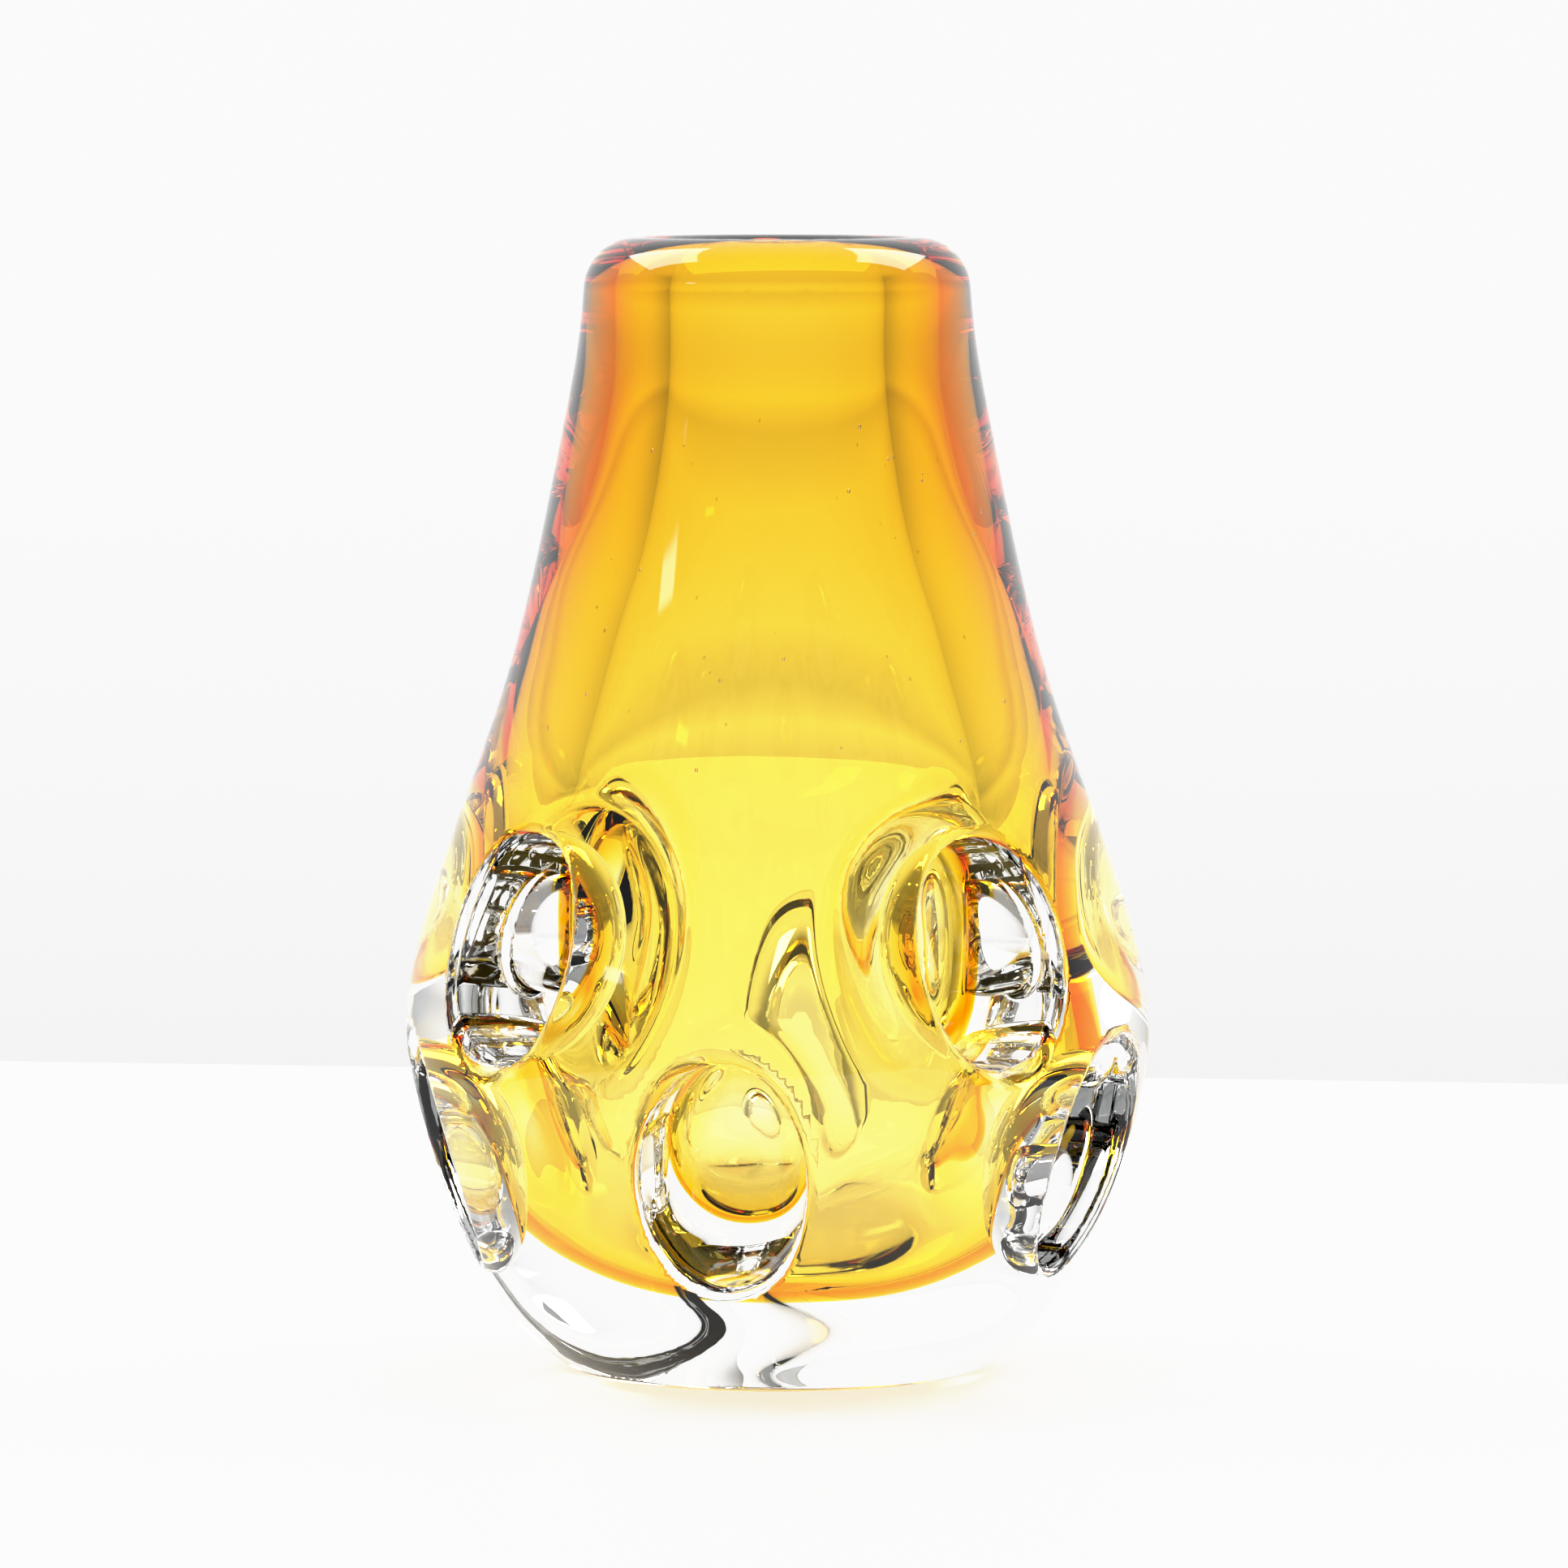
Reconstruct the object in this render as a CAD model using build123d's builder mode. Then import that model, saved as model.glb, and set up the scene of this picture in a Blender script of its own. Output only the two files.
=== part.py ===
from build123d import *
import os
from math import cos, radians, sin

# Cased glass vase: a clear outer casing fused over an amber inner layer around one air cavity.
# Two rows of deep wells, four in each, are pressed into the casing and push both layers inward.
# Millimetres, +Z up, origin at the middle of the flat base, front of the vase toward -Y.

os.makedirs("parts", exist_ok=True)

# ---- driving dimensions ----
HEIGHT = 200.0
BASE_FLAT_RADIUS = 32.0
LIP_OUTER_RADIUS = 33.9
LIP_ROUND = 8.7
BORE_RADIUS = 19.0
BORE_EDGE_ROUND = 2.5
BORE_LENGTH = 24.0

AMBER_TOP_RADIUS = 22.5
AMBER_FLOOR_RADIUS = 9.0
AMBER_FLOOR_HEIGHT = 24.0
CAVITY_FLOOR_RADIUS = 8.0
CAVITY_FLOOR_HEIGHT = 26.5

# Outer side, base edge to lip: (radius, height).
OUTER_SIDE = [
    (42.6, 5.0), (51.7, 16.4), (60.2, 33.5), (64.6, 50.0), (65.7, 62.0), (63.9, 74.0),
    (56.8, 96.5), (48.7, 119.5), (42.7, 142.5), (38.0, 165.5),
]
# Outside of the amber layer, floor to neck.
AMBER_SIDE = [
    (20.0, 26.0), (30.2, 33.5), (35.2, 47.0), (36.8, 62.0), (37.8, 78.0), (38.2, 94.0),
    (36.0, 114.0), (29.6, 140.0), (24.8, 163.0),
]
# Air cavity, floor to the straight bore.
CAVITY_SIDE = [
    (20.0, 28.6), (28.2, 35.5), (33.0, 48.0), (34.6, 62.0), (35.4, 78.0), (35.4, 94.0),
    (33.0, 114.0), (29.8, 126.0), (25.7, 140.0), (20.8, 160.0),
]

# Wells: an oval cup, widest at its mouth in the outer surface.
WELL_WIDTH = 28.5
WELL_HEIGHT = 39.5
WELL_DEPTH = 29.0
WELL_SIDE_DRAFT = 0.20
WELL_SHOULDER_SHARE = 0.55
WELL_END_FULLNESS = 1.3
WELL_LEAD_OUT = 9.0
WELL_RIM_ROUND = 2.0
CLEAR_SKIN = 3.0
AMBER_WALL = 2.0

# The seam of the outer surface runs between two wells, so every rim is one closed edge.
SEAM_TURN = -76.0

# Each row: height, surface radius there, bearings from the front.
WELL_ROWS = [
    (77.5, 63.4, (-49.0, 37.0, 112.0, -125.0)),
    (40.0, 62.4, (-9.0, 65.0, 172.0, -81.0)),
]


def side_blank(side, floor_radius, floor_height, top_radius, top_height):
    """Solid of revolution: flat floor, splined side, vertical finish at the top."""
    with BuildPart() as blank:
        with BuildSketch(Plane.XZ):
            with BuildLine():
                start = (floor_radius, floor_height)
                end = (top_radius, top_height)
                Line((0, floor_height), start)
                Spline(start, *side, end, tangents=[(1, 0), (0, 1)], tangent_scalars=[1, 1])
                Polyline(end, (0, top_height), (0, floor_height))
            make_face()
        revolve(axis=Axis.Z)
    return blank.part


def well_cup(swell):
    """Cutter for one well, grown outward by swell; its axis runs inward along +Z."""
    half_width = WELL_WIDTH / 2 + swell
    depth = WELL_DEPTH + swell
    straight = WELL_SHOULDER_SHARE * depth
    shoulder = (half_width - WELL_SIDE_DRAFT * straight, straight)
    lead = (half_width + WELL_SIDE_DRAFT * WELL_LEAD_OUT, -WELL_LEAD_OUT)
    with BuildPart() as cup:
        with BuildSketch(Plane.XZ):
            with BuildLine():
                Polyline((0, -WELL_LEAD_OUT), lead, shoulder)
                Spline(
                    shoulder,
                    (0, depth),
                    tangents=[(-WELL_SIDE_DRAFT, 1), (-1, 0)],
                    tangent_scalars=[WELL_END_FULLNESS, WELL_END_FULLNESS],
                )
                Line((0, depth), (0, -WELL_LEAD_OUT))
            make_face()
        revolve(axis=Axis.Z)
        stretch = (WELL_HEIGHT / 2 + swell) / half_width
        scale(by=(1, stretch, 1))
    return cup.part


def well_places():
    """One location per well, on the outer surface with +Z pointing into the glass."""
    places = []
    for height, radius, bearings in WELL_ROWS:
        for bearing in bearings:
            out_x, out_y = sin(radians(bearing)), -cos(radians(bearing))
            spot = Plane(
                origin=(radius * out_x, radius * out_y, height),
                x_dir=(-out_y, out_x, 0),
                z_dir=(-out_x, -out_y, 0),
            )
            places.append(spot.location)
    return places


PLACES = well_places()

# ---- air cavity, pushed in behind every well ----
with BuildPart() as cavity:
    add(side_blank(CAVITY_SIDE, CAVITY_FLOOR_RADIUS, CAVITY_FLOOR_HEIGHT, BORE_RADIUS, HEIGHT - BORE_LENGTH))
    with Locations((0, 0, HEIGHT - BORE_LENGTH)):
        Cylinder(BORE_RADIUS, BORE_LENGTH, align=(Align.CENTER, Align.CENTER, Align.MIN))
    with Locations(*PLACES):
        add(well_cup(CLEAR_SKIN + AMBER_WALL), mode=Mode.SUBTRACT)

# ---- amber layer with the cavity still filled ----
with BuildPart() as amber_full:
    add(side_blank(AMBER_SIDE, AMBER_FLOOR_RADIUS, AMBER_FLOOR_HEIGHT, AMBER_TOP_RADIUS, HEIGHT))
    with Locations(*PLACES):
        add(well_cup(CLEAR_SKIN), mode=Mode.SUBTRACT)

# ---- amber core ----
with BuildPart() as amber_core:
    add(amber_full.part)
    add(cavity.part, mode=Mode.SUBTRACT)
    top_face = amber_core.faces().sort_by(Axis.Z)[-1]
    fillet(top_face.edges().sort_by(SortBy.LENGTH)[0], BORE_EDGE_ROUND)
amber_core.part.label = "amber_core"
export_step(amber_core.part, "parts/amber_core.step")

# ---- clear casing ----
with BuildPart() as clear_casing:
    with BuildSketch(Plane.XZ.rotated((0, 0, SEAM_TURN))):
        with BuildLine():
            base_edge = (BASE_FLAT_RADIUS, 0)
            lip_side = (LIP_OUTER_RADIUS, HEIGHT - LIP_ROUND)
            lip_top = (LIP_OUTER_RADIUS - LIP_ROUND, HEIGHT)
            Line((0, 0), base_edge)
            Spline(base_edge, *OUTER_SIDE, lip_side, tangents=[(1, 0.3), (0, 1)], tangent_scalars=[1, 1])
            RadiusArc(lip_side, lip_top, -LIP_ROUND)
            Polyline(lip_top, (0, HEIGHT), (0, 0))
        make_face()
    revolve(axis=Axis.Z)
    with Locations(*PLACES):
        add(well_cup(0), mode=Mode.SUBTRACT)
    outer_skin = clear_casing.faces().sort_by(SortBy.AREA)[-1]
    rims = [edge for wire in outer_skin.inner_wires() for edge in wire.edges()]
    fillet(rims, WELL_RIM_ROUND)
    add(amber_full.part, mode=Mode.SUBTRACT)
clear_casing.part.label = "clear_casing"
export_step(clear_casing.part, "parts/clear_casing.step")
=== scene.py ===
import math

import bpy
import numpy as np
from bpy.props import FloatProperty, FloatVectorProperty, IntProperty, PointerProperty
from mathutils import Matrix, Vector


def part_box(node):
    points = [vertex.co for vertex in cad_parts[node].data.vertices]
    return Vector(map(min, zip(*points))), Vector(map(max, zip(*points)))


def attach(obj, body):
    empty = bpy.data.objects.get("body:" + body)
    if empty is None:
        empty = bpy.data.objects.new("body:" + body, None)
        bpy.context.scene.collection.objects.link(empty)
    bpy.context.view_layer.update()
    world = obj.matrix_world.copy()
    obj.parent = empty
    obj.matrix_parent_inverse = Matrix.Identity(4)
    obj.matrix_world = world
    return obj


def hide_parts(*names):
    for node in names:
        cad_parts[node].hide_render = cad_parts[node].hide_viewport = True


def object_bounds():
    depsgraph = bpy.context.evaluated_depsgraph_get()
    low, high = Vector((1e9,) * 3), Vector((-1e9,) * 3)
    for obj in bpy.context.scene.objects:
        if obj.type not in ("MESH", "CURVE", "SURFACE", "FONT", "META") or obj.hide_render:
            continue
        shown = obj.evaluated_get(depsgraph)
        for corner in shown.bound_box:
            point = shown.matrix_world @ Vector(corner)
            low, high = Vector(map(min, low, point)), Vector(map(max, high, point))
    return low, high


bl_info = {
    "name": "Cased glass vase",
    "version": (1, 0, 0),
    "blender": (4, 5, 0),
    "location": "View3D > Sidebar > Vase",
    "description": "Makes an amber glass vase cased in thick clear glass with pressed wells, and its studio",
    "category": "Object",
}

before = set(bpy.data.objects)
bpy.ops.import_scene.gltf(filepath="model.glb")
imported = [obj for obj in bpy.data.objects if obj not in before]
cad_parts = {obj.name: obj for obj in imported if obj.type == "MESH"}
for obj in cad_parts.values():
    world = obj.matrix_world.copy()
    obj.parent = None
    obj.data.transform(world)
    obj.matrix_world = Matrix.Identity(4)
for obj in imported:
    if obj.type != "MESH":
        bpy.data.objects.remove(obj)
CAD_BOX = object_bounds()
MM = 0.001
HEIGHT = (CAD_BOX[1][2] - CAD_BOX[0][2]) / MM

# Outlines of the three glass surfaces, as (height, radius) in millimetres.
OUTER_OUTLINE = (
    (0.0, 36.0), (5.0, 42.6), (16.4, 51.7), (33.5, 60.2), (50.0, 64.6), (62.0, 65.7), (74.0, 63.9),
    (96.5, 56.8), (119.5, 48.7), (142.5, 42.7), (165.5, 38.0), (183.0, 34.9), (200.0, 33.6),
)
AMBER_OUTLINE = (
    (0.0, 31.0), (30.0, 34.0), (47.0, 37.6), (62.0, 39.3), (78.0, 39.8), (94.0, 39.6), (104.0, 38.2),
    (118.0, 35.0), (135.0, 31.0), (147.0, 28.0), (160.0, 25.8), (172.0, 24.5), (186.0, 23.9), (200.0, 25.6),
)
CAVITY_OUTLINE = (
    (0.0, 29.6), (30.0, 32.4), (47.0, 35.4), (62.0, 36.6), (78.0, 36.9), (94.0, 36.6), (104.0, 35.0),
    (118.0, 31.4), (135.0, 26.8), (147.0, 23.2), (160.0, 20.6), (172.0, 19.2), (186.0, 19.0), (200.0, 19.0),
)

# Two rows of wells, as (height and radius of the middle of the mouth in millimetres, bearings in degrees).
WELL_ROWS = (
    (77.5, 63.4, (-49.0, 37.0, 112.0, -125.0)),
    (40.0, 62.4, (-9.0, 65.0, 172.0, -81.0)),
)

# Brightness of the backdrop from the ground up, as (place from 0 to 1, grey). Level with the eye is 0.5.
BACKDROP_GREYS = (
    (0.0, 0.95), (0.28, 0.9), (0.36, 1.15), (0.4, 0.86), (0.42, 0.92), (0.47, 1.1), (1.0, 1.2),
)
# Softboxes, as (direction, half width, half height, soft edge): two over the lip, a small one at the left.
SOFTBOXES = (
    ((-0.57, 0.3, 0.77), 0.3, 0.22, 0.02),
    ((0.57, 0.3, 0.77), 0.3, 0.22, 0.02),
    ((-0.76, -0.54, 0.33), 0.05, 0.01, 0.015),
)
# Film curve, as (light, tone) in shares of the white level.
FILM_WHITE = 1.25
FILM_CURVE = ((0.3, 0.375), (0.6, 0.75), (0.68, 0.85), (0.75, 0.91), (0.82, 0.938), (0.92, 0.957))
FILM_TOP = (1.0, 0.965)
BOUNCES = 40
CLEAR_BOUNCES = 24

# Camera in metres: the place, the point it looks at, and its lens and sensor in millimetres.
CAMERA_PLACE = (0.0012, -1.81, 0.2317)
CAMERA_AIM = (0.0012, 0, 0.1035)
LENS = 236.0
SENSOR = 36.0
NEAREST = 0.1


def millimetres(name, description, default):
    return FloatProperty(name=name, description=description, default=default * MM, unit="LENGTH", precision=4)


def share(name, description, default):
    return FloatProperty(name=name, description=description, default=default)


def tint(name, description, default):
    return FloatVectorProperty(
        name=name, description=description, default=default, subtype="COLOR", size=3, min=0.0, max=1.0
    )


class VaseSizes(bpy.types.PropertyGroup):
    """Sizes of the glass that its outlines don't give."""

    lip_round: millimetres("Lip round", "Radius of the rolled outer edge of the lip", 8.7)
    bore_round: millimetres("Bore round", "Radius of the lip's inner edge", 6.2)
    base_round: millimetres("Base round", "Radius of the edge that the vase stands on", 1.2)
    well_width: millimetres("Well width", "Width of a well's mouth", 28.5)
    well_height: millimetres("Well height", "Height of a well's mouth", 39.5)
    well_depth: millimetres("Well depth", "Depth of a well below the middle of its mouth", 27.5)
    well_rim: millimetres("Well rim", "Radius of the rounded edge of a well's mouth", 2.4)
    well_fullness: share("Well fullness", "2 is an ellipsoid, and more is squarer at the bottom", 3.4)
    well_flare: share("Well flare", "How much a well widens outside its mouth, for each millimetre", 0.02)
    clear_skin: millimetres("Clear skin", "Clear glass between a well and the amber layer", 2.8)
    amber_skin: millimetres("Amber skin", "Amber layer behind a well", 1.0)
    amber_floor: millimetres("Amber floor", "Height of the underside of the amber layer", 24.5)
    cavity_floor: millimetres("Cavity floor", "Height of the bottom of the hollow", 26.2)
    amber_bowl: millimetres("Amber bowl", "Radius of the amber layer's rounded bottom", 26.0)
    cavity_bowl: millimetres("Cavity bowl", "Radius of the hollow's rounded bottom", 25.0)
    amber_bulge: millimetres("Amber bulge", "Radius of the amber layer's rounding round a well", 5.0)
    cavity_bulge: millimetres("Cavity bulge", "Radius of the hollow's rounding round a well", 6.0)
    grid_step: millimetres("Grid step", "Spacing of the mesh of the clear glass", 1.34)
    layer_gap: millimetres("Layer gap", "How far the amber layer is sunk below the wall of the hollow", 0.1)


class VaseGlass(bpy.types.PropertyGroup):
    """Colours of the glass."""

    clear_tint: tint("Clear tint", "What a long way through the clear glass looks like", (0.7, 0.8, 0.78))
    clear_density: share("Clear density", "How fast the clear glass takes on its tint, in 1/m", 1.2)
    amber_tint: tint("Amber tint", "What the amber glass lets through", (0.99, 0.87, 0.02))
    amber_density: share("Amber density", "How fast the amber glass takes on its colour, in 1/m", 417.0)
    bend: share("Refractive index", "Refractive index of the glass", 1.5)
    seed_density: share("Seeds", "Tiny bubbles for each square metre of the shoulder", 2200.0)
    seed_largest: millimetres("Largest seed", "Radius of the largest bubble", 0.32)
    seed_number: IntProperty(name="Seed", description="Number that places the bubbles", default=7)


class StudioSettings(bpy.types.PropertyGroup):
    """Light of the studio."""

    backdrop: share("Backdrop", "Strength of the bright backdrop", 1.06)
    room: share("Room", "Share of the backdrop's strength on the camera's side of the room", 0.3)
    softbox: share("Softboxes", "Strength of the softboxes over the lip", 7.0)
    table_glow: share("Table glow", "Light of the lit table top", 0.64)
    # The warm light is painted into the table's glow colour round the foot of the vase; it stands for light
    # that the amber glass throws on the table.
    warm: tint("Warm light", "Light that the amber glass throws on the table", (1.0, 0.86, 0.62))


# ---------------------------------------------------------------------------
# Shape of the glass. All of it is in millimetres, and a field is below zero inside the glass.
# ---------------------------------------------------------------------------


class Curve:
    """Natural cubic spline of radius against height."""

    def __init__(self, points):
        self.x, self.y = (np.array(v, float) for v in zip(*points))
        n, h = len(self.x), np.diff(self.x)
        rows, right = np.eye(n), np.zeros(n)
        for i in range(1, n - 1):
            rows[i, i - 1 : i + 2] = h[i - 1], 2 * (h[i - 1] + h[i]), h[i]
            right[i] = 6 * ((self.y[i + 1] - self.y[i]) / h[i] - (self.y[i] - self.y[i - 1]) / h[i - 1])
        self.m, self.h = np.linalg.solve(rows, right), h

    def __call__(self, z):
        z = np.clip(z, self.x[0], self.x[-1])
        i = np.clip(np.searchsorted(self.x, z) - 1, 0, len(self.h) - 1)
        h, a, b = self.h[i], self.x[i + 1] - z, z - self.x[i]
        bend = (self.m[i] * a**3 + self.m[i + 1] * b**3) / (6 * h)
        low, high = self.y[i] / h - self.m[i] * h / 6, self.y[i + 1] / h - self.m[i + 1] * h / 6
        return bend + low * a + high * b


def both(a, b, blend):
    """Where two solids overlap, with the corner between their faces rounded to a radius."""
    u, v = a + blend, b + blend
    return np.hypot(np.maximum(u, 0), np.maximum(v, 0)) + np.minimum(np.maximum(u, v), 0) - blend


def side(p, outline):
    """Distance from the side of a turned shape."""
    z, step = p[:, 2], 0.05
    slope = (outline(z + step) - outline(z - step)) / (2 * step)
    return (np.hypot(p[:, 0], p[:, 1]) - outline(z)) / np.sqrt(1 + slope**2)


class Well:
    """A hollow pressed into the side: a rounded cup that points at the axis."""

    def __init__(self, sizes, height, radius, bearing):
        b = math.radians(bearing)
        self.mouth = np.array([radius * math.sin(b), -radius * math.cos(b), height])
        self.inward = np.array([-math.sin(b), math.cos(b), 0.0])
        self.across = np.array([math.cos(b), math.sin(b), 0.0])
        self.half = sizes["well_width"] / 2, sizes["well_height"] / 2, sizes["well_depth"]
        self.full, self.flare = sizes["well_fullness"], sizes["well_flare"]
        middle_share = 0.4
        self.middle = self.mouth + self.inward * (middle_share * self.half[2])

    def near(self, p, reach):
        """Numbers of the points close enough to the cup to feel it."""
        cup_share = 0.9
        span = max(self.half) * cup_share + reach
        return np.flatnonzero(((p - self.middle) ** 2).sum(1) < span**2)

    def distance(self, p):
        """Distance to the wall of the cup, below zero inside it."""
        q = p - self.mouth
        w, e = q @ self.inward, self.full
        grow = 1 - self.flare * np.minimum(w, 0)
        a, b, d = self.half[0] * grow, self.half[1] * grow, self.half[2]
        u, v, w = q @ self.across, q[:, 2], np.maximum(w, 0)
        ring = (u / a) ** 2 + (v / b) ** 2 + 1e-9
        s = (ring ** (e / 2) + (w / d) ** e) ** (1 / e)
        slope = s ** (1 - e) * ring ** (e / 2 - 1)
        deep = s ** (1 - e) * w ** (e - 1) / d**e
        steep = np.sqrt((slope * u / a**2) ** 2 + (slope * v / b**2) ** 2 + deep**2)
        return (s - 1) / np.maximum(steep, 1e-3)


class Shape:
    """The outside, the hollow and the amber layer of the vase."""

    def __init__(self, settings):
        plain = ("well_fullness", "well_flare")
        self.sizes = {
            name: getattr(settings, name) / (1 if name in plain else MM) for name in VaseSizes.__annotations__
        }
        self.outer, self.amber_side, self.cavity_side = (
            Curve(points) for points in (OUTER_OUTLINE, AMBER_OUTLINE, CAVITY_OUTLINE)
        )
        self.wells = [Well(self.sizes, height, radius, b) for height, radius, row in WELL_ROWS for b in row]

    def press(self, p, field, swell, blend):
        """Takes the wells, made larger all round by swell, out of a field."""
        for well in self.wells:
            near = well.near(p, swell + blend)
            field[near] = both(field[near], swell - well.distance(p[near]), blend)
        return field

    def outside(self, p):
        s = self.sizes
        field = both(side(p, self.outer), p[:, 2] - HEIGHT, s["lip_round"])
        return self.press(p, both(field, -p[:, 2], s["base_round"]), 0.0, s["well_rim"])

    def hollow(self, p):
        s = self.sizes
        field = both(side(p, self.cavity_side), s["cavity_floor"] - p[:, 2], s["cavity_bowl"])
        return self.press(p, field, s["clear_skin"] + s["amber_skin"], s["cavity_bulge"])

    def amber(self, p):
        s = self.sizes
        field = both(side(p, self.amber_side), s["amber_floor"] - p[:, 2], s["amber_bowl"])
        return self.press(p, field, s["clear_skin"], s["amber_bulge"])

    def glass(self, p):
        return both(self.outside(p), -self.hollow(p), self.sizes["bore_round"])

    def inner_wall(self, p):
        return -self.glass(p) - self.sizes["layer_gap"]


def gradient(field, p, step=0.03):
    g = np.empty_like(p)
    for axis in range(3):
        d = np.zeros(3)
        d[axis] = step
        g[:, axis] = (field(p + d) - field(p - d)) / (2 * step)
    return g


def facing(field, p):
    g = gradient(field, p)
    return g / np.linalg.norm(g, axis=1)[:, None]


def settle(field, p, rounds=4, most=0.8):
    """Moves points onto the surface of a field."""
    for _ in range(rounds):
        g = gradient(field, p)
        move = field(p)[:, None] * g / np.maximum((g**2).sum(1), 1e-6)[:, None]
        length = np.linalg.norm(move, axis=1)[:, None]
        p = p - move * np.minimum(1, most / np.maximum(length, 1e-9))
    return p


def reach(field, origin, way, start, rounds=48, stride=0.8):
    """Walks out from inside a field along straight rays until the surface."""
    far = np.full(len(origin), start)
    for _ in range(rounds):
        far -= stride * field(origin + way * far[:, None])
    return far


# ---------------------------------------------------------------------------
# Meshes
# ---------------------------------------------------------------------------


def sample(field, axes, step, block=4, close_steps=5.5):
    """Values of a field on a grid, exact near its surface and one for each block elsewhere."""
    coarse = np.stack(np.meshgrid(*[a[block // 2 :: block] for a in axes], indexing="ij"), -1)
    rough = field(coarse.reshape(-1, 3)).reshape(coarse.shape[:3])
    pick = [np.minimum(np.arange(len(a)) // block, m - 1) for a, m in zip(axes, rough.shape)]
    grid = rough[np.ix_(*pick)]
    close = np.argwhere(np.abs(grid) < close_steps * step)
    grid[tuple(close.T)] = field(np.array([a[0] for a in axes]) + step * close)
    return grid


def wrap(field, low, high, step):
    """Quads round the surface of a field, with one point in each grid cell that the surface crosses."""
    axes = [np.arange(a, b + step, step) for a, b in zip(low, high)]
    grid = sample(field, axes, step)
    cells = tuple(len(a) - 1 for a in axes)
    total, count, crossings = np.zeros(cells + (3,)), np.zeros(cells), []
    for axis in range(3):
        one, two = [slice(None)] * 3, [slice(None)] * 3
        one[axis], two[axis] = slice(0, -1), slice(1, None)
        a, b = grid[tuple(one)], grid[tuple(two)]
        hit = np.argwhere((a < 0) != (b < 0))
        va, vb = a[tuple(hit.T)], b[tuple(hit.T)]
        at = hit.astype(float)
        at[:, axis] += va / (va - vb)
        first, second = [n for n in range(3) if n != axis]
        corners = []
        for i, j in ((-1, -1), (0, -1), (0, 0), (-1, 0)):
            cell = hit.copy()
            cell[:, first] += i
            cell[:, second] += j
            corners.append(cell)
            np.add.at(total, tuple(cell.T), at)
            np.add.at(count, tuple(cell.T), 1)
        crossings.append((np.stack(corners, 1), (va < 0) != (axis == 1)))
    used = count > 0
    number = np.full(cells, -1)
    number[used] = np.arange(used.sum())
    points = np.array(low) + step * total[used] / count[used][:, None]
    faces = []
    for around, forward in crossings:
        quads = number[around[..., 0], around[..., 1], around[..., 2]]
        faces.append(np.where(forward[:, None], quads, quads[:, ::-1]))
    return points, np.concatenate(faces)


def make_mesh(name, points, faces, normals, material):
    """A smooth piece from points in millimetres and quads, where -1 ends a triangle."""
    loops = faces[faces >= 0]
    starts = np.concatenate(([0], np.cumsum((faces >= 0).sum(1))[:-1]))
    mesh = bpy.data.meshes.new(name)
    mesh.vertices.add(len(points))
    mesh.vertices.foreach_set("co", (points * MM).ravel())
    mesh.loops.add(len(loops))
    mesh.loops.foreach_set("vertex_index", loops)
    mesh.polygons.add(len(faces))
    mesh.polygons.foreach_set("loop_start", starts)
    mesh.update(calc_edges=True)
    mesh.validate()
    mesh.shade_smooth()
    mesh.normals_split_custom_set_from_vertices(normals)
    mesh.materials.append(material)
    return place(name, mesh)


def place(name, data):
    thing = bpy.data.objects.new(name, data)
    bpy.context.scene.collection.objects.link(thing)
    return thing


def liner_rays(start, around, turns, heights):
    """Rays from the axis, in rows from straight down to level with the lip, and the number of rows."""
    drop = np.radians(np.linspace(-90, 0, turns + 1)[1:-1])
    lip_zone, lip_rows, last_share, below_lip = 12.0, 22, 0.035, 0.12
    lip = HEIGHT - lip_zone * np.linspace(1, last_share, lip_rows)[1:] ** 2 - below_lip
    levels = np.concatenate([np.linspace(start, HEIGHT - lip_zone, heights), lip])
    rows = [(start, d) for d in drop] + [(z, 0.0) for z in levels]
    angle = np.arange(around) * 2 * math.pi / around
    flat = np.zeros(around)
    origin = [np.stack([flat, flat, flat + z], -1) for z, _ in rows]
    way = [
        np.stack([math.cos(t) * np.cos(angle), math.cos(t) * np.sin(angle), flat + math.sin(t)], -1)
        for _, t in rows
    ]
    origin.append([[0.0, 0.0, start]])
    way.append([[0.0, 0.0, -1.0]])
    return np.concatenate(origin), np.concatenate(way), len(rows)


def liner_faces(rows, around, count):
    """Faces of the two skins of the amber layer, and of the ring that joins them at the lip."""
    i, j = (a.ravel() for a in np.meshgrid(np.arange(rows - 1), np.arange(around), indexing="ij"))
    k = (j + 1) % around
    tube = np.stack([i * around + j, i * around + k, (i + 1) * around + k, (i + 1) * around + j], -1)
    j = np.arange(around)
    k = (j + 1) % around
    pole, end = np.full(around, count - 1), np.full(around, -1)
    last = (rows - 1) * around
    skins = [tube, np.stack([pole, k, j, end], -1)]
    skins.append(tube[:, ::-1] + count)
    skins.append(np.stack([pole + count, j + count, k + count, end], -1))
    skins.append(np.stack([last + j, last + k, count + last + k, count + last + j], -1))
    return np.concatenate(skins)


def lathe(name, outline, low, high, rows=24, around=64):
    """Open turned surface between two heights."""
    z = np.linspace(low, high, rows)
    angle = np.arange(around) * 2 * math.pi / around
    r = outline(z)[:, None]
    points = np.stack([r * np.cos(angle), r * np.sin(angle), np.repeat(z[:, None], around, 1)], -1)
    faces = []
    for row in range(0, (rows - 1) * around, around):
        for j in range(around):
            k = (j + 1) % around
            faces.append((row + j, row + k, row + around + k, row + around + j))
    mesh = bpy.data.meshes.new(name)
    mesh.from_pydata((points.reshape(-1, 3) * MM).tolist(), [], faces)
    return place(name, mesh)


# ---------------------------------------------------------------------------
# Node helpers
# ---------------------------------------------------------------------------


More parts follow.
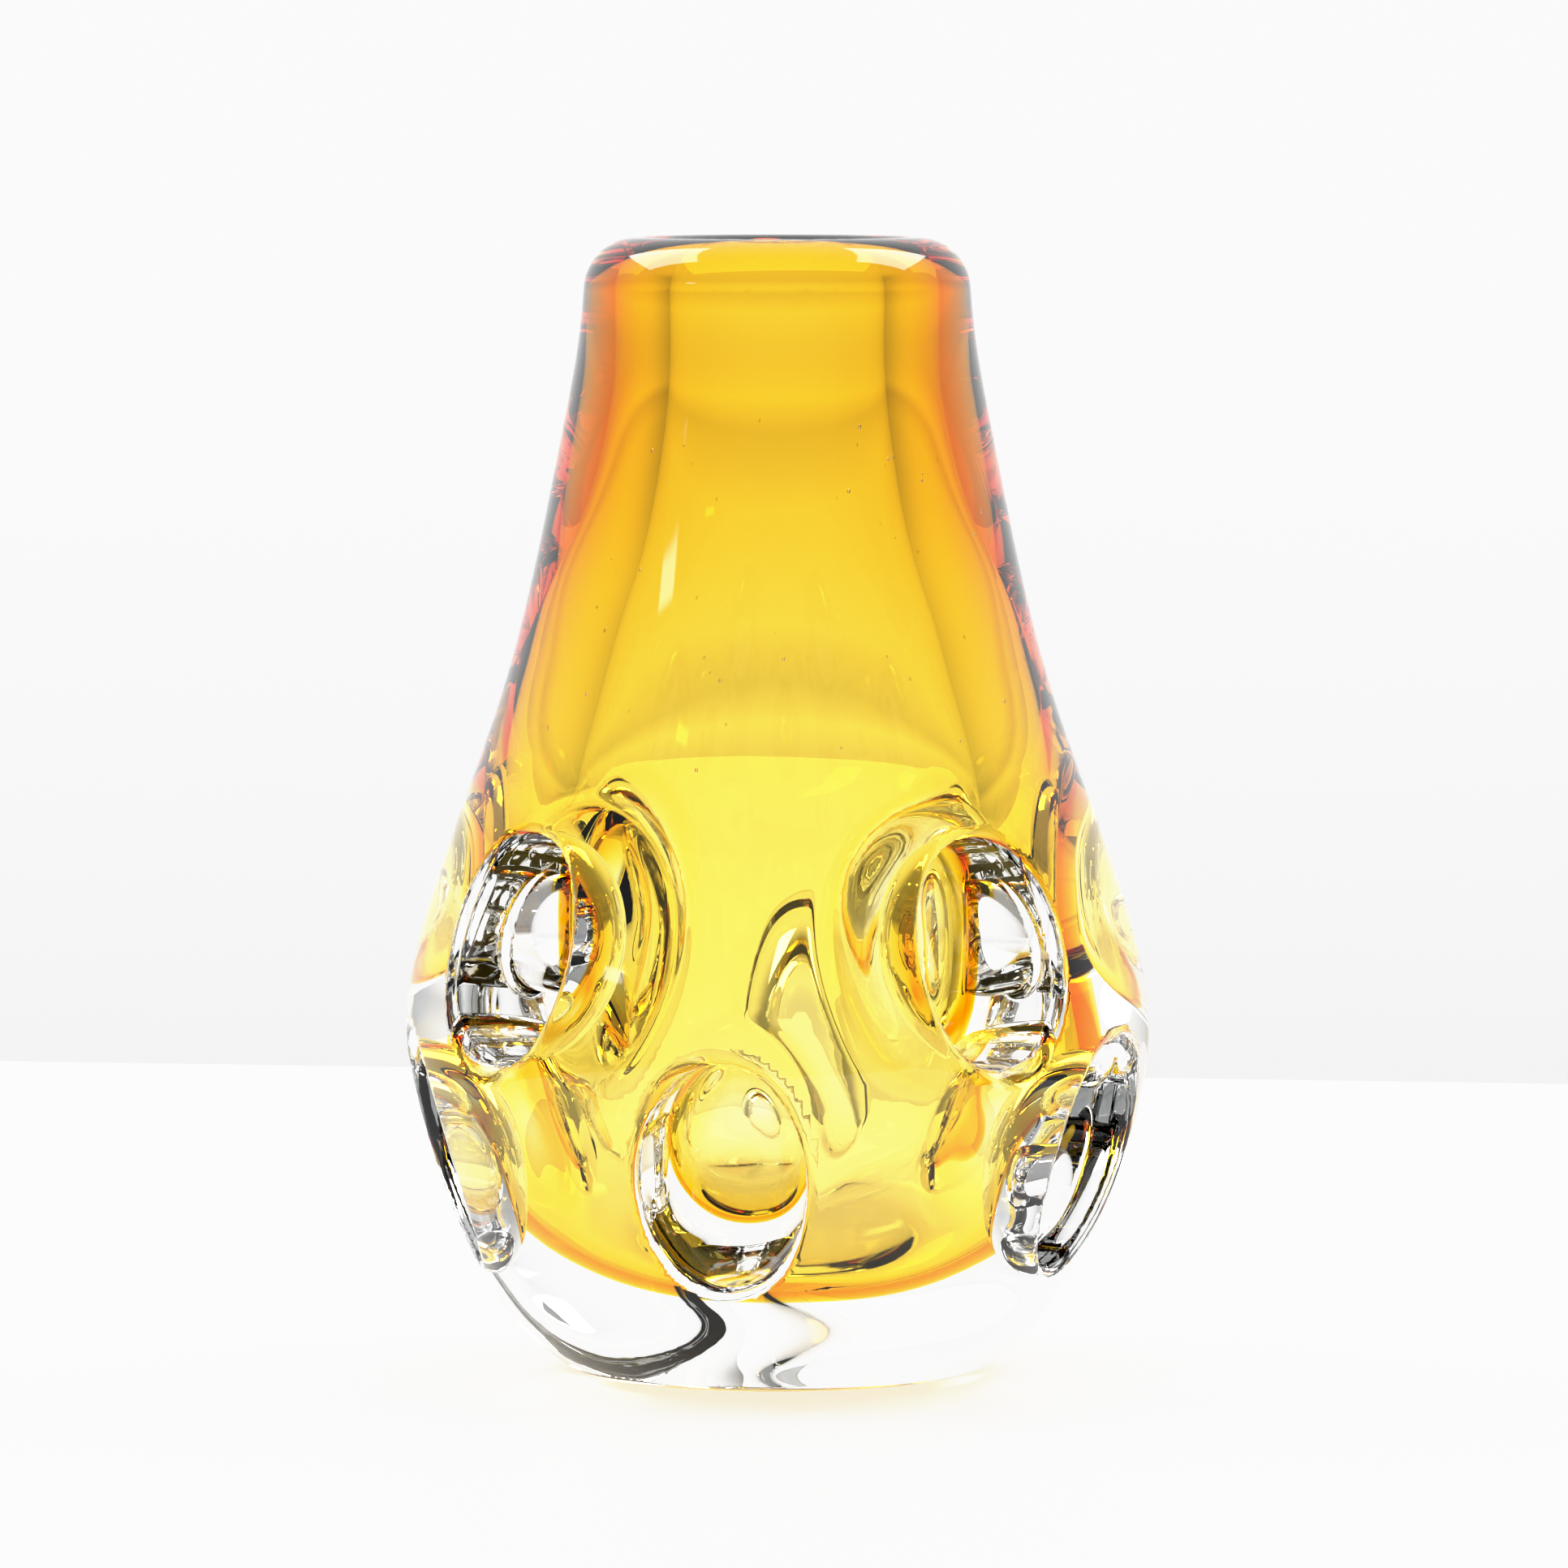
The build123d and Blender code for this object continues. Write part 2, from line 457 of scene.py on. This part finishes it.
class Wire:
    """A node's output with arithmetic: each operator adds a Math node."""

    def __init__(self, nodes, socket):
        self.nodes, self.socket = nodes, socket

    def _math(self, kind, *values):
        return self.nodes.node("ShaderNodeMath", {"operation": kind}, dict(enumerate(values)))

    def __add__(self, other):
        return self._math("ADD", self, other)

    __radd__ = __add__

    def __mul__(self, other):
        return self._math("MULTIPLY", self, other)

    def size(self):
        return self._math("ABSOLUTE", self)

    def between(self, low, high, start=0.0, end=1.0):
        """Smooth step from start to end as the value goes from low to high."""
        sockets = {"Value": self, "From Min": low, "From Max": high, "To Min": start, "To Max": end}
        return self.nodes.node("ShaderNodeMapRange", {"interpolation_type": "SMOOTHSTEP"}, sockets)


class Nodes:
    """Builds one node tree."""

    def __init__(self, tree):
        self.tree = tree
        tree.nodes.clear()

    def node(self, kind, settings=None, sockets=None, out=0):
        made = self.tree.nodes.new(kind)
        for name, value in (settings or {}).items():
            setattr(made, name, value)
        for name, value in (sockets or {}).items():
            if isinstance(value, Wire):
                self.tree.links.new(value.socket, made.inputs[name])
            else:
                made.inputs[name].default_value = value
        return Wire(self, made.outputs[out]) if made.outputs else made

    def noise(self, scale, stretch, detail):
        """Noise through the object, drawn out along its height."""
        where = self.node("ShaderNodeTexCoord", out="Object")
        where = self.node("ShaderNodeMapping", {}, {"Vector": where, "Scale": (1, 1, 1 / stretch)})
        return self.node("ShaderNodeTexNoise", {}, {"Vector": where, "Scale": scale, "Detail": detail})

    def ramp(self, value, stops):
        """Colour ramp of greys, as (place, grey)."""
        made = self.node("ShaderNodeValToRGB", {}, {0: value})
        elements = made.socket.node.color_ramp.elements
        while len(elements) < len(stops):
            elements.new(1.0)
        for element, (at, grey) in zip(elements, stops):
            element.position = at
            element.color = (grey, grey, grey, 1)
        return made

    def blend(self, factor, one, two):
        return self.node("ShaderNodeMix", {"data_type": "RGBA"}, {0: factor, 6: one, 7: two}, out=2)


def shader_nodes(owner):
    owner.use_nodes = True
    return Nodes(owner.node_tree)


# ---------------------------------------------------------------------------
# Materials
# ---------------------------------------------------------------------------


def clear_glass(glass):
    """Thick clear glass, a little wavy as blown glass is, and finely scuffed where it stands."""
    material = bpy.data.materials.new("clear glass")
    nodes = shader_nodes(material)
    wave = nodes.noise(scale=38.0, stretch=2.2, detail=1.5)
    draw = nodes.noise(scale=260.0, stretch=14.0, detail=1.0)
    draw_share, wave_height, bump_strength = 0.02, 0.004, 0.02
    bump = nodes.node("ShaderNodeBump", {}, {
        "Height": wave + draw * draw_share, "Strength": bump_strength, "Distance": wave_height})
    where = nodes.node("ShaderNodeTexCoord", out="Object")
    height = nodes.node("ShaderNodeSeparateXYZ", {}, {0: where}, out="Z")
    scuff = height.between(0.0001, 0.0006, start=0.09, end=0.0)
    colour = nodes.blend(wave, (0.998, 0.999, 1.0, 1), (1.0, 1.0, 1.0, 1))
    shader = nodes.node("ShaderNodeBsdfPrincipled", {}, {
        "Base Color": colour, "Roughness": scuff, "IOR": glass.bend, "Transmission Weight": 1.0,
        "Normal": bump})
    volume = nodes.node("ShaderNodeVolumeAbsorption", {}, {
        "Color": (*glass.clear_tint, 1), "Density": glass.clear_density})
    nodes.node("ShaderNodeOutputMaterial", {}, {"Surface": shader, "Volume": volume})
    return material


def amber_glass(glass):
    """Amber glass inside the clear glass: it colours light without bending it, in faint streaks."""
    material = bpy.data.materials.new("amber glass")
    nodes = shader_nodes(material)
    streaks = nodes.noise(scale=220.0, stretch=20.0, detail=2.0)
    colour = nodes.blend(streaks, (1.0, 0.985, 0.95, 1), (1.0, 1.0, 1.0, 1))
    shader = nodes.node("ShaderNodeBsdfPrincipled", {}, {
        "Base Color": colour, "Roughness": 0.0, "IOR": 1.0, "Transmission Weight": 1.0})
    volume = nodes.node("ShaderNodeVolumeAbsorption", {}, {
        "Color": (*glass.amber_tint, 1), "Density": glass.amber_density})
    nodes.node("ShaderNodeOutputMaterial", {}, {"Surface": shader, "Volume": volume})
    return material


def seed_air(glass):
    """Air inside the glass, seen from the glass."""
    material = bpy.data.materials.new("seed bubble")
    nodes = shader_nodes(material)
    mottle = nodes.noise(scale=90.0, stretch=1.0, detail=1.0)
    colour = nodes.blend(mottle, (0.97, 0.97, 0.97, 1), (1.0, 1.0, 1.0, 1))
    shader = nodes.node("ShaderNodeBsdfPrincipled", {}, {
        "Base Color": colour, "Roughness": 0.0, "IOR": 1 / glass.bend, "Transmission Weight": 1.0})
    nodes.node("ShaderNodeOutputMaterial", {}, {"Surface": shader})
    return material


def table_top(studio):
    """White lit table, with a breath of warm light painted into its glow round the foot of the vase, standing
    for light that the amber glass throws.
    """
    material = bpy.data.materials.new("table top")
    nodes = shader_nodes(material)
    where = nodes.node("ShaderNodeTexCoord", out="Object")
    away = nodes.node("ShaderNodeVectorMath", {"operation": "LENGTH"}, {0: where}, out="Value")
    # Painted light: a warm ring in the table's glow colour round the foot of the vase, standing in for light
    # thrown through the amber glass.
    painted_warm_ring = away.between(0.03, 0.1, start=0.5, end=0.0)
    light = nodes.blend(painted_warm_ring, (1, 1, 1, 1), (*studio.warm, 1))
    shader = nodes.node("ShaderNodeBsdfPrincipled", {}, {
        "Base Color": (0.4, 0.4, 0.405, 1), "Roughness": 0.5})
    glow = nodes.node("ShaderNodeEmission", {}, {"Color": light, "Strength": studio.table_glow})
    both_lights = nodes.node("ShaderNodeAddShader", {}, {0: shader, 1: glow})
    nodes.node("ShaderNodeOutputMaterial", {}, {"Surface": both_lights})
    return material


# ---------------------------------------------------------------------------
# Seed bubbles
# ---------------------------------------------------------------------------


def seed_scatter():
    """Node group that strews small drawn-out bubbles near a surface."""
    group = bpy.data.node_groups.new("seed scatter", "GeometryNodeTree")
    sockets = (("Surface", "Geometry"), ("Density", "Float"), ("Smallest", "Float"), ("Largest", "Float"),
               ("Spread", "Float"), ("Seed", "Int"), ("Material", "Material"))
    for name, kind in sockets:
        group.interface.new_socket(name, in_out="INPUT", socket_type="NodeSocket" + kind)
    group.interface.new_socket("Bubbles", in_out="OUTPUT", socket_type="NodeSocketGeometry")
    nodes = Nodes(group)

    def given(name):
        return nodes.node("NodeGroupInput", out=name)

    spread = nodes.node("GeometryNodeDistributePointsOnFaces", {}, {
        "Mesh": given("Surface"), "Density": given("Density"), "Seed": given("Seed")})
    normal = Wire(nodes, spread.socket.node.outputs["Normal"])
    shift = nodes.node("FunctionNodeRandomValue", {}, {
        2: given("Spread") * -1, 3: given("Spread"), "Seed": given("Seed")}, out=1)
    offset = nodes.node("ShaderNodeVectorMath", {"operation": "SCALE"}, {0: normal, "Scale": shift})
    points = nodes.node("GeometryNodeSetPosition", {}, {"Geometry": spread, "Offset": offset})
    radius = nodes.node("FunctionNodeRandomValue", {}, {
        2: given("Smallest"), 3: given("Largest"), "Seed": given("Seed") + 1}, out=1)
    drawn_out = 1.5
    scale = nodes.node("ShaderNodeCombineXYZ", {}, {"X": radius, "Y": radius, "Z": radius * drawn_out})
    ball = nodes.node("GeometryNodeMeshIcoSphere", {}, {"Radius": 1.0, "Subdivisions": 3})
    ball = nodes.node("GeometryNodeSetShadeSmooth", {}, {"Geometry": ball})
    placed = nodes.node("GeometryNodeInstanceOnPoints", {}, {
        "Points": points, "Instance": ball, "Scale": scale})
    real = nodes.node("GeometryNodeRealizeInstances", {}, {0: placed})
    painted = nodes.node("GeometryNodeSetMaterial", {}, {"Geometry": real, "Material": given("Material")})
    nodes.node("NodeGroupOutput", {}, {"Bubbles": painted})
    return group


def grow(name, surface, group, values):
    """Runs a node group on a surface, and keeps what it makes as a plain mesh."""
    modifier = surface.modifiers.new(name, "NODES")
    modifier.node_group = group
    names = {item.name: item.identifier for item in group.interface.items_tree if item.in_out == "INPUT"}
    for key, value in values.items():
        modifier[names[key]] = value
    shown = surface.evaluated_get(bpy.context.evaluated_depsgraph_get())
    mesh = bpy.data.meshes.new_from_object(shown)
    mesh.name = name
    bpy.data.objects.remove(surface)
    return place(name, mesh)


# ---------------------------------------------------------------------------
# Operators
# ---------------------------------------------------------------------------


class VASE_OT_make_clear_glass(bpy.types.Operator):
    """Make the clear glass, which is the whole body of the vase with its wells and its hollow"""

    bl_idname = "vase.make_clear_glass"
    bl_label = "Clear glass"

    def execute(self, context):
        shape = Shape(context.scene.vase_sizes)
        low, high = (np.array(corner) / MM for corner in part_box("clear_casing"))
        margin = 1.5
        points, faces = wrap(shape.glass, low - margin, high + margin, shape.sizes["grid_step"])
        points = settle(shape.glass, points)
        material = clear_glass(context.scene.vase_glass)
        body = make_mesh("glass_body", points, faces, facing(shape.glass, points), material)
        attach(body, "root")
        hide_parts("clear_casing")
        return {"FINISHED"}


class VASE_OT_make_amber_layer(bpy.types.Operator):
    """Make the amber layer that lines the hollow inside the clear glass"""

    bl_idname = "vase.make_amber_layer"
    bl_label = "Amber layer"

    def execute(self, context):
        shape = Shape(context.scene.vase_sizes)
        around, turns, heights = 240, 40, 118
        start, inside, thinnest = 60.0, 10.0, 0.25
        origin, way, rows = liner_rays(start, around, turns, heights)
        near = reach(shape.inner_wall, origin, way, inside)
        far = np.maximum(reach(shape.amber, origin, way, inside), near + thinnest)
        outer, inner = origin + way * far[:, None], origin + way * near[:, None]
        faces = liner_faces(rows, around, len(origin))
        normals = np.concatenate([facing(shape.amber, outer), -facing(shape.inner_wall, inner)])
        material = amber_glass(context.scene.vase_glass)
        layer = make_mesh("amber_liner", np.concatenate([outer, inner]), faces, normals, material)
        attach(layer, "root")
        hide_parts("amber_core")
        return {"FINISHED"}


class VASE_OT_make_seeds(bpy.types.Operator):
    """Make the tiny bubbles that blown glass keeps in its shoulder"""

    bl_idname = "vase.make_seeds"
    bl_label = "Seed bubbles"

    def execute(self, context):
        glass = context.scene.vase_glass
        clear, low, high, spread, smallest = 7.0, 106.0, 182.0, 3.0, 0.1
        amber = Curve(AMBER_OUTLINE)
        surface = lathe("seed surface", lambda z: amber(z) + clear, low, high)
        values = {
            "Density": glass.seed_density, "Smallest": smallest * MM, "Largest": glass.seed_largest,
            "Spread": spread * MM, "Seed": glass.seed_number, "Material": seed_air(glass),
        }
        seeds = grow("seed_bubbles", surface, seed_scatter(), values)
        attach(seeds, "root")
        return {"FINISHED"}


class VASE_OT_make_studio(bpy.types.Operator):
    """Make the table, the backdrop, the softboxes and the camera"""

    bl_idname = "vase.make_studio"
    bl_label = "Studio"

    def execute(self, context):
        scene, studio = context.scene, context.scene.vase_studio
        light_room(scene, studio)
        lay_table(studio)
        set_camera(scene)
        set_film(scene)
        return {"FINISHED"}


def window(nodes, way, toward, wide, tall, edge):
    """One where a direction falls inside a rectangular softbox, fading to zero at its edge."""
    toward = Vector(toward).normalized()
    right = toward.cross(Vector((0, 0, 1))).normalized()
    up = right.cross(toward)
    parts = [
        nodes.node("ShaderNodeVectorMath", {"operation": "DOT_PRODUCT"}, {0: way, 1: axis}, out="Value")
        for axis in (right, up, toward)
    ]
    mask = parts[2].between(0.0, 0.1)
    for part, half in ((parts[0], wide), (parts[1], tall)):
        mask = mask * part.size().between(half, half + edge, 1.0, 0.0)
    return mask


def light_room(scene, studio):
    """A bright backdrop behind the vase, a dim room on the camera's side, and softboxes above."""
    world = bpy.data.worlds.new("studio")
    scene.world = world
    nodes = shader_nodes(world)
    way = nodes.node("ShaderNodeTexCoord", out="Generated")
    y, z = (nodes.node("ShaderNodeSeparateXYZ", {}, {0: way}, out=axis) for axis in "YZ")
    rise = nodes.node("ShaderNodeMapRange", {}, {"Value": z, "From Min": -0.5, "From Max": 0.5})
    fall = nodes.ramp(rise, BACKDROP_GREYS)
    widening, ground_share = 0.2, 0.95
    ahead = (y + z.size() * widening).between(-0.05, 0.9, start=studio.room, end=studio.backdrop)
    ground = z.between(-0.32, -0.14, start=studio.backdrop * ground_share, end=0.0)
    strength = nodes.node("ShaderNodeMath", {"operation": "MAXIMUM"}, {0: ahead, 1: ground})
    light = nodes.node("ShaderNodeBackground", {}, {"Color": fall, "Strength": strength})
    boxes = sum(window(nodes, way, *softbox) for softbox in SOFTBOXES)
    lamps = nodes.node("ShaderNodeBackground", {}, {
        "Color": (1.0, 0.99, 0.98, 1), "Strength": boxes * studio.softbox})
    whole = nodes.node("ShaderNodeAddShader", {}, {0: light, 1: lamps})
    nodes.node("ShaderNodeOutputWorld", {}, {"Surface": whole})


def lay_table(studio):
    """A wide table top that ends behind the vase, further away on the left."""
    wide, front, back_left, back_right = 0.27, -0.32, 0.57, 0.49
    below = -0.0002
    corners = [
        (-wide, front, below), (wide, front, below), (wide, back_right, below), (-wide, back_left, below)
    ]
    mesh = bpy.data.meshes.new("table")
    mesh.from_pydata(corners, [], [(0, 1, 2, 3)])
    mesh.materials.append(table_top(studio))
    place("table", mesh)


def set_camera(scene):
    camera = place("camera", bpy.data.cameras.new("camera"))
    camera.data.lens, camera.data.sensor_width, camera.data.clip_start = LENS, SENSOR, NEAREST
    camera.location = CAMERA_PLACE
    aim = Vector(CAMERA_AIM) - camera.location
    camera.rotation_euler = aim.to_track_quat("-Z", "Y").to_euler()
    scene.camera = camera


def set_film(scene):
    """Many bounces for thick glass, and a film curve that rolls off to white."""
    scene.cycles.max_bounces = BOUNCES
    scene.cycles.transmission_bounces = BOUNCES
    scene.cycles.transparent_max_bounces = CLEAR_BOUNCES
    look = scene.view_settings
    look.view_transform = "Standard"
    look.use_curve_mapping = True
    look.curve_mapping.white_level = (FILM_WHITE, FILM_WHITE, FILM_WHITE)
    line = look.curve_mapping.curves[3]
    for at, to in FILM_CURVE:
        line.points.new(at, to)
    line.points[-1].location = FILM_TOP
    look.curve_mapping.update()


STEPS = (VASE_OT_make_clear_glass, VASE_OT_make_amber_layer, VASE_OT_make_seeds, VASE_OT_make_studio)


class VASE_PT_panel(bpy.types.Panel):
    """Sizes, colours and steps of the vase"""

    bl_label = "Cased glass vase"
    bl_idname = "VASE_PT_panel"
    bl_space_type = "VIEW_3D"
    bl_region_type = "UI"
    bl_category = "Vase"

    def draw(self, context):
        scene = context.scene
        for settings in (scene.vase_sizes, scene.vase_glass, scene.vase_studio):
            box = self.layout.box()
            for name in type(settings).__annotations__:
                box.prop(settings, name)
        for step in STEPS:
            self.layout.operator(step.bl_idname)


GROUPS = {"vase_sizes": VaseSizes, "vase_glass": VaseGlass, "vase_studio": StudioSettings}
CLASSES = (*GROUPS.values(), *STEPS, VASE_PT_panel)


def register():
    for cls in CLASSES:
        bpy.utils.register_class(cls)
    for name, cls in GROUPS.items():
        setattr(bpy.types.Scene, name, PointerProperty(type=cls))


def unregister():
    for name in GROUPS:
        delattr(bpy.types.Scene, name)
    for cls in reversed(CLASSES):
        bpy.utils.unregister_class(cls)


def main():
    register()
    bpy.ops.vase.make_clear_glass()
    bpy.ops.vase.make_amber_layer()
    bpy.ops.vase.make_seeds()
    bpy.ops.vase.make_studio()


if __name__ == "__main__":
    main()
